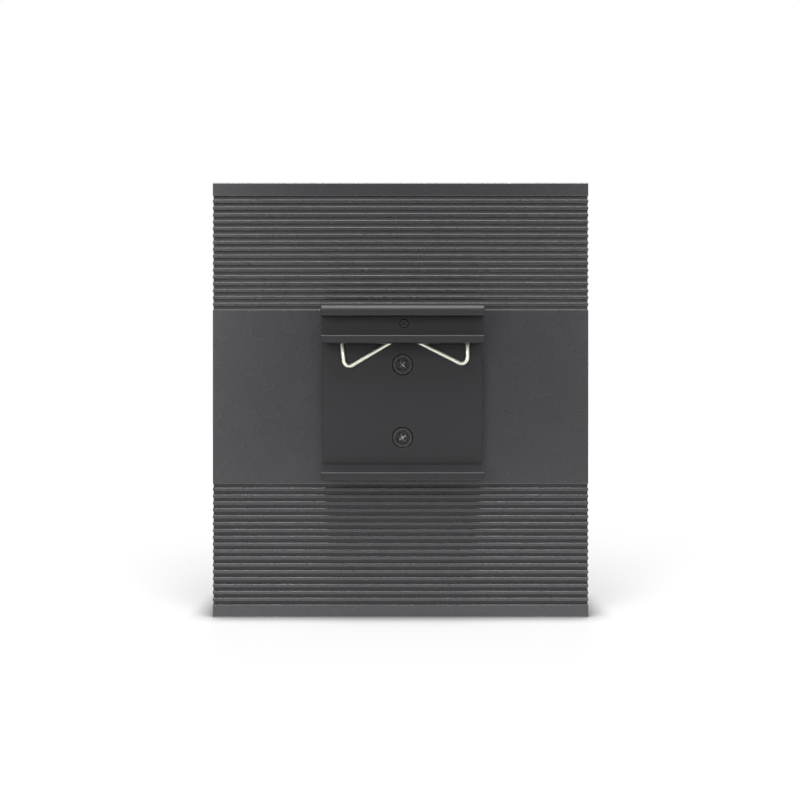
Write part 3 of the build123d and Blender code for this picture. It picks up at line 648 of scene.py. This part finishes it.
class FinishBook:
    """Every finish of the switch, built once and handed out by name."""

    def __init__(self) -> None:
        """Builds all the materials."""
        effects = Effects()
        self.housing = CoatedMetal(
            "graphite_coating", (0.0280, 0.0264, 0.0304), 0.28, metallic=0.0, specular=0.92,
            grit_depth=0.003 * MM, edge_gain=3.6, glint_gain=8.0,
            groove_face=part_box("rear_housing")[0].y,
        ).build(effects)
        self.cover = CoatedMetal(
            "graphite_powder_coat", (0.030, 0.0290, 0.0320), 0.42, metallic=0.0, specular=0.8,
            grit_scale=2600.0, grit_depth=0.02 * MM, streak_gain=1.0, edge_start=0.2,
            edge_full=0.29, edge_gain=1.8, glint_gain=4.5,
        ).build(effects)
        self.clip = CoatedMetal(
            "black_anodised", (0.0262, 0.0248, 0.0272), 0.37, metallic=0.1, specular=0.42,
            grit_scale=6000.0, edge_start=0.14, edge_full=0.24, edge_gain=1.0, glint_gain=2.2,
            edge_polish=0.0,
        ).build(effects)
        self.wire = BareMetal(
            "drawn_spring_wire", (0.95, 0.93, 0.82), 0.36, metallic=0.85, stain=(0.55, 0.52, 0.4)
        ).build(effects)
        self.upper_screw = self.head("upper_screw_steel", "clip_screw_upper").build(effects)
        self.lower_screw = self.head("lower_screw_steel", "clip_screw_lower").build(effects)
        self.pin = self.head(
            "pin_steel", "clip_pin", roughness=0.4, rim_radius=1.1 * MM, rim_width=0.18 * MM,
            recess_radius=0.2 * MM,
        ).build(effects)
        self.black_steel = BareMetal(
            "blackened_steel", (0.06, 0.06, 0.062), 0.38, Axis.X, stain=(0.03, 0.03, 0.03)
        ).build(effects)
        self.zinc = BareMetal("zinc_plate", (0.62, 0.62, 0.6), 0.34).build(effects)
        self.shield = BareMetal("tinned_sheet", (0.68, 0.68, 0.66), 0.3).build(effects)
        self.gold = BareMetal("gold_plate", (0.85, 0.62, 0.25), 0.25, Axis.Y).build(effects)
        self.can = BareMetal("drawn_can", (0.74, 0.74, 0.75), 0.3, Axis.Y).build(effects)
        self.socket = MouldedPlastic(
            "black_socket_plastic", (0.018, 0.018, 0.019), 0.45
        ).build(effects)
        self.terminal = MouldedPlastic(
            "green_terminal_plastic", (0.03, 0.19, 0.07), 0.42
        ).build(effects)
        self.resin = MouldedPlastic("chip_resin", (0.022, 0.022, 0.023), 0.6).build(effects)
        self.ferrite = MouldedPlastic("pressed_ferrite", (0.05, 0.05, 0.05), 0.7).build(effects)
        self.ceramic = MouldedPlastic("fuse_ceramic", (0.75, 0.73, 0.68), 0.4).build(effects)
        self.pad = MouldedPlastic("soft_pad", (0.35, 0.42, 0.55), 0.8).build(effects)
        self.lamp = MouldedPlastic("lamp_resin", (0.62, 0.7, 0.4), 0.35).build(effects)
        self.ink = MouldedPlastic("pad_printed_ink", (0.72, 0.72, 0.7)).build(effects)
        self.guide = ClearMoulding("clear_acrylic", (0.86, 0.9, 0.86), 0.12).build(effects)
        self.board = PrintedBoard("solder_mask", (0.012, 0.12, 0.045), 0.38).build(effects)

    @staticmethod
    def head(name: str, node: str, roughness: float = 0.42, **sizes: float) -> RubbedHead:
        """Describes the finish of a round steel head, which takes its place from its node.

        Args:
            name: The finish's name.
            node: The head's CAD node.
            roughness: The head's roughness.
            **sizes: Sizes that differ from a clip screw's.

        Returns:
            The finish.
        """
        low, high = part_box(node)
        middle = (low + high) / 2
        place = {"axis_x": middle.x, "axis_z": middle.z, "face_y": low.y}
        return RubbedHead(name, (0.030, 0.030, 0.031), roughness, **place, **sizes)


def dress(material: Material, *nodes: str) -> None:
    """Gives carried-over CAD nodes their material.

    Args:
        material: The finish for every slot of the nodes.
        *nodes: The CAD nodes' names.
    """
    for node in nodes:
        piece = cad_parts[node]
        if not piece.material_slots:
            piece.data.materials.append(material)
        for slot in piece.material_slots:
            slot.material = material
        LOG.info("dressed %s with %s", node, material.name)


def finish_piece(
    name: str, shape: bmesh.types.BMesh, material: Material,
    smooth: bool = True,
) -> Object:
    """Turns a finished bmesh into a piece that rides on the body.

    Args:
        name: The piece's name.
        shape: The bmesh, in place and in metres; it is freed.
        material: The piece's finish.
        smooth: Whether the faces are shaded smooth.

    Returns:
        The piece's object, at the origin.
    """
    bmesh.ops.recalc_face_normals(shape, faces=shape.faces)
    for face in shape.faces:
        face.smooth = smooth
    mesh = bpy.data.meshes.new(name)
    shape.to_mesh(mesh)
    shape.free()
    mesh.materials.append(material)
    piece = bpy.data.objects.new(name, mesh)
    bpy.context.scene.collection.objects.link(piece)
    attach(piece, BODY)
    LOG.info("made %s with %d faces", name, len(mesh.polygons))
    return piece


@dataclass
class BentRod:
    """A round rod drawn forward and bent in the local XY plane, as a wire former bends it."""

    radius: float
    heading: float
    start: Vector
    sides: int = 20
    bend_steps: int = 14
    end_round: float = 0.12 * MM

    def __post_init__(self) -> None:
        """Cuts the rod's first end, square to its heading and with a rounded rim."""
        self.shape = bmesh.new()
        turned = Matrix.Translation(self.start) @ Matrix.Rotation(self.heading, 4, "Z")
        turned = turned @ Matrix.Rotation(QUARTER_TURN, 4, "Y")
        disc = bmesh.ops.create_circle(
            self.shape, cap_ends=True, segments=self.sides, radius=self.radius - self.end_round,
            matrix=turned,
        )
        self.place = self.start.copy()
        self.ring = list({edge for vert in disc["verts"] for edge in vert.link_edges})
        self.swell(self.end_round)

    def way(self) -> Vector:
        """Returns the direction that the rod heads in."""
        return Vector((math.cos(self.heading), math.sin(self.heading), 0.0))

    def swell(self, growth: float) -> None:
        """Moves the rod's rim forward and outward by a small rounding.

        Args:
            growth: The rounding's size, negative to close the rod.
        """
        self.forward(abs(growth))
        verts = {vert for edge in self.ring for vert in edge.verts}
        share = 1.0 + growth / (self.radius - max(growth, 0.0))
        about = Matrix.Translation(-self.place)
        bmesh.ops.scale(self.shape, vec=(share, share, share), space=about, verts=list(verts))

    def forward(self, length: float) -> None:
        """Draws the rod straight on.

        Args:
            length: How far it is drawn.
        """
        step = self.way() * length
        grown = bmesh.ops.extrude_edge_only(self.shape, edges=self.ring)["geom"]
        verts = [item for item in grown if isinstance(item, bmesh.types.BMVert)]
        edges = [item for item in grown if isinstance(item, bmesh.types.BMEdge)]
        self.ring = [edge for edge in edges if all(vert in verts for vert in edge.verts)]
        bmesh.ops.translate(self.shape, vec=step, verts=verts)
        self.place += step

    def bend(self, angle: float, radius: float) -> None:
        """Bends the rod round a former.

        Args:
            angle: The turn, anticlockwise where positive.
            radius: The former's radius at the rod's centre line.
        """
        side = Vector((-self.way().y, self.way().x, 0.0)) * math.copysign(radius, angle)
        centre = self.place + side
        turned = bmesh.ops.spin(
            self.shape, geom=self.ring, cent=centre, axis=Axis.Z.value, angle=angle,
            steps=self.bend_steps, use_merge=False, use_duplicate=False,
        )
        self.ring = [item for item in turned["geom_last"] if isinstance(item, bmesh.types.BMEdge)]
        self.place = centre + Matrix.Rotation(angle, 3, "Z") @ (self.place - centre)
        self.heading += angle

    def close(self) -> bmesh.types.BMesh:
        """Closes the rod's last end and returns its shape."""
        self.swell(-self.end_round)
        bmesh.ops.contextual_create(self.shape, geom=self.ring)
        return self.shape


@dataclass
class Housing:
    """The grooved extrusion, the folded cover and the screws between them."""

    finishes: FinishBook

    def build(self) -> None:
        """Dresses the two shells and their screws."""
        dress(self.finishes.housing, "rear_housing")
        dress(self.finishes.cover, "front_cover")
        dress(self.finishes.black_steel, "cover_screws")


@dataclass(frozen=True)
class WireSide:
    """One side of the spring wire: where its foot is and how its leg and arm lean, in degrees."""

    foot_offset: float
    leg_lean: float
    arm_slope: float
    foot_drop: float = 11.05 * MM
    leg_rise: float = 1.8 * MM

    def corners(self, loop: float) -> tuple[Vector, Vector, Vector, Vector]:
        """Returns the side's corners from the leg's end to the loop, on the left of the pin.

        Args:
            loop: Radius of the loop over the pin.
        """
        spread = math.tan(math.radians(self.leg_lean)) * (self.foot_drop + self.leg_rise)
        climb = math.tan(math.radians(self.arm_slope)) * (self.foot_offset - loop)
        return (
            Vector((-self.foot_offset - spread, self.leg_rise, 0.0)),
            Vector((-self.foot_offset, -self.foot_drop, 0.0)),
            Vector((-loop, climb - self.foot_drop, 0.0)),
            Vector((-loop, 0.0, 0.0)),
        )


@dataclass
class RailClip:
    """The extruded clip with its spring wire, pin and two screws."""

    finishes: FinishBook
    left: WireSide = WireSide(15.09 * MM, 4.6, 29.7)
    right: WireSide = WireSide(15.61 * MM, 1.4, 28.3)
    wire_radius: float = 0.525 * MM
    bend_radius: float = 1.5 * MM
    shoulder_radius: float = 1.2 * MM
    loop_play: float = 0.05 * MM
    tilt: float = 1.3

    def build(self) -> None:
        """Dresses the clip and what is on it, and bends the wire."""
        dress(self.finishes.clip, "din_clip")
        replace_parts(self.bend_wire(), "clip_spring")
        dress(self.finishes.pin, "clip_pin")
        dress(self.finishes.upper_screw, "clip_screw_upper")
        dress(self.finishes.lower_screw, "clip_screw_lower")

    def bend_wire(self) -> Object:
        """Bends the spring wire from one end to the other and sets it over its pin.

        Returns:
            The wire's piece.
        """
        pin_low, pin_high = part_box("clip_pin")
        wire_low, wire_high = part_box("clip_spring")
        loop = (pin_high.x - pin_low.x) / 2 + self.wire_radius + self.loop_play
        route = list(self.left.corners(loop))
        for corner in reversed(self.right.corners(loop)):
            route.append(Vector((-corner.x, corner.y, 0.0)))
        over_pin = len(route) // 2
        radii = {
            1: self.bend_radius, 2: self.shoulder_radius,
            5: self.shoulder_radius, 6: self.bend_radius,
        }
        first = route[1] - route[0]
        rod = BentRod(self.wire_radius, math.atan2(first.y, first.x), route[0])
        for index in range(1, len(route)):
            run = route[index] - rod.place
            if index == over_pin:
                rod.bend(-math.pi, loop)
            elif index not in radii:
                rod.forward(run.length)
            else:
                after = route[index + 1] - route[index]
                turn = -run.to_2d().angle_signed(after.to_2d())
                rod.forward(run.length - radii[index] * math.tan(abs(turn) / 2))
                rod.bend(turn, radii[index])
        lean = math.radians(self.tilt)
        pin_x, pin_z = (pin_low.x + pin_high.x) / 2, (pin_low.z + pin_high.z) / 2
        plane = Matrix((
            (math.cos(lean), -math.sin(lean), 0.0, pin_x),
            (0.0, 0.0, -1.0, (wire_low.y + wire_high.y) / 2),
            (math.sin(lean), math.cos(lean), 0.0, pin_z),
            (0.0, 0.0, 0.0, 1.0),
        ))
        shape = rod.close()
        bmesh.ops.transform(shape, matrix=plane, verts=shape.verts)
        return finish_piece("spring_wire", shape, self.finishes.wire)


@dataclass
class PanelPrint:
    """Marks printed on the front panel, each a thin raised film of ink."""

    finishes: FinishBook
    film: float = 0.02 * MM
    shape: bmesh.types.BMesh = field(default_factory=bmesh.new)

    def place(self, x: float, z: float) -> Matrix:
        """Returns the place of a mark's middle on the panel's face, to be read from the front.

        Args:
            x: Its place along X.
            z: Its place along Z.
        """
        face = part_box("front_cover")[1].y
        turned = Matrix.Rotation(math.pi, 4, "Z") @ Matrix.Rotation(QUARTER_TURN, 4, "X")
        return Matrix.Translation((x, face, z)) @ turned

    def print_text(self, text: str, height: float, x: float, z: float) -> None:
        """Prints a number or sign.

        Args:
            text: What is printed.
            height: The type's size.
            x: Its middle along X.
            z: Its middle along Z.
        """
        curve = bpy.data.curves.new(f"mark_{text}", "FONT")
        curve.body, curve.size, curve.extrude = text, height, self.film
        curve.align_x = curve.align_y = "CENTER"
        holder = bpy.data.objects.new(curve.name, curve)
        mesh = bpy.data.meshes.new_from_object(holder)
        mesh.transform(self.place(x, z))
        self.shape.from_mesh(mesh)
        bpy.data.objects.remove(holder)
        bpy.data.meshes.remove(mesh)
        bpy.data.curves.remove(curve)

    def print_bar(self, width: float, height: float, x: float, z: float) -> None:
        """Prints a plain bar.

        Args:
            width: The bar's width.
            height: The bar's height.
            x: Its middle along X.
            z: Its middle along Z.
        """
        grid = bmesh.ops.create_grid(self.shape, x_segments=1, y_segments=1, size=0.5)["verts"]
        bmesh.ops.scale(self.shape, vec=(width, height, 1.0), verts=grid)
        bmesh.ops.translate(self.shape, vec=(0.0, 0.0, -self.film), verts=grid)
        faces = list({face for vert in grid for face in vert.link_faces})
        raised = bmesh.ops.extrude_face_region(self.shape, geom=faces, use_keep_orig=True)["geom"]
        lifted = [item for item in raised if isinstance(item, bmesh.types.BMVert)]
        bmesh.ops.translate(self.shape, vec=(0.0, 0.0, 2 * self.film), verts=lifted)
        bmesh.ops.transform(self.shape, matrix=self.place(x, z), verts=grid + lifted)

    def finish(self, name: str) -> Object:
        """Makes the printed marks one piece and returns it."""
        bmesh.ops.remove_doubles(self.shape, verts=self.shape.verts, dist=self.film / 10)
        return finish_piece(name, self.shape, self.finishes.ink, smooth=False)


@dataclass
class SocketBlocks:
    """Both ganged socket blocks with their shields, contacts and light guides."""

    finishes: FinishBook
    ports_a_side: int = 4
    port_pitch: float = 13.97 * MM
    status_count: int = 3
    status_pitch: float = 5.0 * MM
    lens_radius: float = 1.2 * MM
    lens_rise: float = 0.35 * MM
    lens_sink: float = 0.04 * MM
    lens_sides: int = 28
    number_height: float = 3.0 * MM
    number_gap: float = 3.2 * MM

    def lens_middles(self, node: str, count: int, pitch: float) -> list[Vector]:
        """Returns the middles of a light guide's ends, from the top down.

        Args:
            node: The guide's CAD node.
            count: How many ends it has.
            pitch: The ends' pitch.
        """
        low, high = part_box(node)
        middle = (low + high) / 2
        top = middle.z + pitch * (count - 1) / 2
        return [Vector((middle.x, high.y, top - pitch * row)) for row in range(count)]

    def make_lenses(self) -> None:
        """Makes the domed ends of all the light guides."""
        middles = self.lens_middles("status_light_bar", self.status_count, self.status_pitch)
        for hand in ("left", "right"):
            middles += self.lens_middles(f"light_bar_{hand}", self.ports_a_side, self.port_pitch)
        radius, rise, sink = self.lens_radius, self.lens_rise, self.lens_sink
        profile = (
            (0.0, -sink), (radius, -sink), (radius, 0.0),
            (radius * 0.86, rise * 0.45), (radius * 0.5, rise * 0.86), (0.0, rise),
        )
        shape = bmesh.new()
        for middle in middles:
            chain = [shape.verts.new(middle + Vector((out, up, 0.0))) for out, up in profile]
            edges = [shape.edges.new(pair) for pair in zip(chain, chain[1:])]
            bmesh.ops.spin(
                shape, geom=chain + edges, cent=middle, axis=Axis.Y.value, angle=math.tau,
                steps=self.lens_sides, use_merge=True, use_duplicate=False,
            )
        bmesh.ops.remove_doubles(shape, verts=shape.verts, dist=self.lens_sink / 10)
        finish_piece("guide_lenses", shape, self.finishes.guide)

    def print_numbers(self) -> None:
        """Prints the port numbers by the light guides, 1 at the top left seen from the front."""
        marks = PanelPrint(self.finishes)
        number = 1
        for hand, inward in (("right", -1.0), ("left", 1.0)):
            guide = f"light_bar_{hand}"
            for middle in self.lens_middles(guide, self.ports_a_side, self.port_pitch):
                beside = middle.x + inward * self.number_gap
                marks.print_text(str(number), self.number_height, beside, middle.z)
                number += 1
        marks.finish("port_numbers")

    def build(self) -> None:
        """Dresses the blocks of both sides."""
        self.make_lenses()
        self.print_numbers()
        dress(self.finishes.socket, "jack_block_left", "jack_block_right")
        dress(self.finishes.shield, "jack_shield_left", "jack_shield_right")
        dress(self.finishes.gold, "jack_contacts_left", "jack_contacts_right")
        dress(self.finishes.guide, "light_bar_left", "light_bar_right", "status_light_bar")
        dress(self.finishes.lamp, "port_leds", "status_leds")


@dataclass
class PowerTerminal:
    """The pluggable power terminal and the ground screw beside it."""

    finishes: FinishBook
    poles: int = 4
    pole_pitch: float = 5.08 * MM
    sign_height: float = 3.4 * MM
    sign_gap: float = 2.2 * MM
    earth_gap: float = 2.6 * MM
    earth_line: float = 0.35 * MM
    earth_stem: float = 1.6 * MM
    earth_step: float = 0.75 * MM
    earth_width: float = 3.0 * MM
    earth_shares: tuple[float, ...] = (1.0, 0.64, 0.28)

    def build(self) -> None:
        """Dresses the terminal and the ground screw."""
        dress(self.finishes.terminal, "terminal_header", "terminal_plug")
        dress(self.finishes.zinc, "terminal_screws", "terminal_cages", "terminal_pins")
        dress(self.finishes.zinc, "ground_screw", "ground_washer", "ground_nut")
        self.print_marks()

    def print_marks(self) -> None:
        """Prints the poles' signs over the terminal and the usual earth mark under its screw."""
        marks = PanelPrint(self.finishes)
        low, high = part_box("terminal_plug")
        middle = (low.x + high.x) / 2
        for pole in range(self.poles):
            offset = (pole - (self.poles - 1) / 2) * self.pole_pitch
            sign = "+" if pole % 2 else "-"
            marks.print_text(sign, self.sign_height, middle + offset, high.z + self.sign_gap)
        low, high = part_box("ground_washer")
        middle, top = (low.x + high.x) / 2, low.z - self.earth_gap
        marks.print_bar(self.earth_line, self.earth_stem, middle, top)
        for row, share in enumerate(self.earth_shares):
            below = top - self.earth_stem / 2 - row * self.earth_step
            marks.print_bar(self.earth_width * share, self.earth_line, middle, below)
        marks.finish("terminal_marks")


@dataclass
class Electronics:
    """The board and what stands on it, closed in by the shells."""

    finishes: FinishBook

    def build(self) -> None:
        """Dresses the board and its parts."""
        dress(self.finishes.board, "main_board")
        dress(self.finishes.zinc, "board_standoffs", "board_screws")
        dress(self.finishes.pad, "thermal_pad")
        dress(self.finishes.ferrite, "power_inductor")
        dress(self.finishes.can, "input_capacitors", "clock_crystal")
        dress(self.finishes.ceramic, "input_fuse")
        dress(self.finishes.resin, "switch_chip", "converter_chip", "flash_chip")
        dress(self.finishes.resin, "line_transformers")


@dataclass(frozen=True)
class Lamp:
    """One soft rectangular lamp, placed by its direction from the middle of the object."""

    name: str
    turn: float
    rise: float
    distance: float
    size: tuple[float, float]
    brightness: float

    def hang(self, aim: Vector) -> None:
        """Hangs the lamp and points it at the object.

        Args:
            aim: The point that it is turned to.
        """
        lamp = bpy.data.lights.new(self.name, "AREA")
        lamp.shape = "RECTANGLE"
        lamp.size, lamp.size_y = self.size
        lamp.energy = self.brightness * math.pi * self.size[0] * self.size[1]
        turn, rise = math.radians(self.turn), math.radians(self.rise)
        level = math.cos(rise)
        way = Vector((math.sin(turn) * level, -math.cos(turn) * level, math.sin(rise)))
        hung = bpy.data.objects.new(self.name, lamp)
        hung.location = aim + way * self.distance
        hung.rotation_euler = (-way).to_track_quat("-Z", "Y").to_euler()
        bpy.context.scene.collection.objects.link(hung)


@dataclass
class Studio:
    """A white surface, soft lamps and the camera of the rear view."""

    pixels: float = 800.0
    pixels_per_metre: float = 3952.6
    camera_distance: float = 0.25
    sensor: float = 36.0
    nearest: float = 10.0 * MM
    aim_height: float = 0.05495
    aim_x: float = -0.00014
    floor_size: float = 4.0
    floor_colour: Colour = (0.605, 0.605, 0.605)
    far_colour: Colour = (0.12, 0.12, 0.12)
    floor_glow: float = 0.3
    far_glow: float = 1.0
    near_mirror: float = 0.46
    far_mirror: float = 0.2
    near_reach: float = 0.1
    far_reach: float = 0.35
    contact_reach: float = 8.0 * MM
    contact_range: tuple[float, float] = (0.5, 0.98)
    contact_shade: float = 0.35
    contact_samples: int = 16
    sky_strength: float = 0.175
    lamps: tuple[Lamp, ...] = (
        Lamp("lamp_left", -31.0, 6.0, 0.9, (0.3, 0.8), 6.2),
        Lamp("lamp_right", 33.0, 6.0, 0.9, (0.3, 0.8), 4.5),
        Lamp("lamp_above", 0.0, 69.0, 0.75, (0.42, 0.62), 7.2),
        Lamp("lamp_front", 180.0, 35.0, 1.2, (0.6, 0.6), 4.0),
    )

    def build(self) -> None:
        """Makes the floor, the sky, the lamps and the camera."""
        self.make_floor()
        self.make_sky()
        for lamp in self.lamps:
            lamp.hang(Vector((0.0, 0.0, self.aim_height)))
        self.make_camera()

    def make_floor(self) -> None:
        """Makes the floor, which is staged and so not part of the object."""
        mesh = bpy.data.meshes.new("studio_floor")
        shape = bmesh.new()
        bmesh.ops.create_grid(shape, x_segments=1, y_segments=1, size=self.floor_size / 2)
        shape.to_mesh(mesh)
        shape.free()
        mesh.materials.append(self.floor_material())
        floor = bpy.data.objects.new("studio_floor", mesh)
        bpy.context.scene.collection.objects.link(floor)

    def floor_material(self) -> Material:
        """Makes the pale floor's material, white to the camera but for the object's shadow.

        Far from the object it is dark to the lamps, and it glows for mirrored rays too.

        Returns:
            The material.
        """
        material = bpy.data.materials.new("studio_white")
        material.use_nodes = True
        sheet = NodeSheet(material.node_tree)
        path = sheet.add("ShaderNodeLightPath")
        seen = path.outputs["Is Camera Ray"]
        near = sheet.add(
            "ShaderNodeAmbientOcclusion", {"Distance": self.contact_reach},
            samples=self.contact_samples,
        )
        low, high = self.contact_range
        shade = sheet.add("ShaderNodeMapRange", {
            "Value": near.outputs["AO"], "From Min": low, "From Max": high,
            "To Min": self.contact_shade, "To Max": 1.0,
        }, clamp=True).outputs["Result"]
        shown = sheet.math("MAXIMUM", shade, sheet.math("SUBTRACT", 1.0, seen))
        away = sheet.length(sheet.add("ShaderNodeTexCoord").outputs["Object"])
        far = sheet.ramp(away, self.near_reach, self.far_reach)
        tone = sheet.blend(far, rgba(self.floor_colour), rgba(self.far_colour))
        tone = sheet.blend(shown, BLACK, tone)
        bright = sheet.scaled(far, self.far_glow - self.floor_glow, self.floor_glow)
        mirrored = sheet.scaled(far, self.far_mirror - self.near_mirror, self.near_mirror)
        bright = sheet.times(seen, bright)
        mirrored = sheet.times(path.outputs["Is Glossy Ray"], mirrored)
        glow = sheet.times(sheet.math("MAXIMUM", bright, mirrored), shown)
        diffuse = sheet.add("ShaderNodeBsdfDiffuse", {"Color": tone}).outputs[0]
        light = sheet.add("ShaderNodeEmission", {"Color": WHITE, "Strength": glow}).outputs[0]
        both = sheet.add("ShaderNodeAddShader", {0: diffuse, 1: light}).outputs[0]
        sheet.add("ShaderNodeOutputMaterial", {"Surface": both})
        return material

    def make_sky(self) -> None:
        """Makes the even surrounding light, pure white where the camera sees it."""
        world = bpy.data.worlds.new("studio_sky")
        bpy.context.scene.world = world
        world.use_nodes = True
        sheet = NodeSheet(world.node_tree)
        seen = sheet.add("ShaderNodeLightPath").outputs["Is Camera Ray"]
        strengths = {0: seen, 2: self.sky_strength, 3: 1.0}
        strength = sheet.add("ShaderNodeMix", strengths, data_type="FLOAT").outputs[0]
        sky = sheet.add("ShaderNodeBackground", {"Color": WHITE, "Strength": strength}).outputs[0]
        sheet.add("ShaderNodeOutputWorld", {"Surface": sky})

    def make_camera(self) -> None:
        """Makes the level camera that looks along +Y at the rear."""
        camera = bpy.data.cameras.new("rear_view")
        camera.sensor_width = self.sensor
        width_seen = self.pixels / self.pixels_per_metre
        camera.lens = self.sensor * self.camera_distance / width_seen
        camera.clip_start = self.nearest
        stand = bpy.data.objects.new("rear_view", camera)
        rear_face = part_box("rear_housing")[0].y
        stand.location = (self.aim_x, rear_face - self.camera_distance, self.aim_height)
        stand.rotation_euler = (QUARTER_TURN, 0.0, 0.0)
        bpy.context.scene.collection.objects.link(stand)
        bpy.context.scene.camera = stand


def main() -> None:
    """Builds the sub-assemblies in order, then the studio."""
    logging.basicConfig(level=logging.INFO, format="%(name)s: %(message)s")
    bpy.context.scene.view_settings.view_transform = "Standard"
    finishes = FinishBook()
    for assembly in (
        Housing(finishes),
        RailClip(finishes),
        SocketBlocks(finishes),
        PowerTerminal(finishes),
        Electronics(finishes),
    ):
        assembly.build()
        LOG.info("built %s", type(assembly).__name__)
    Studio().build()


if __name__ == "__main__":
    main()
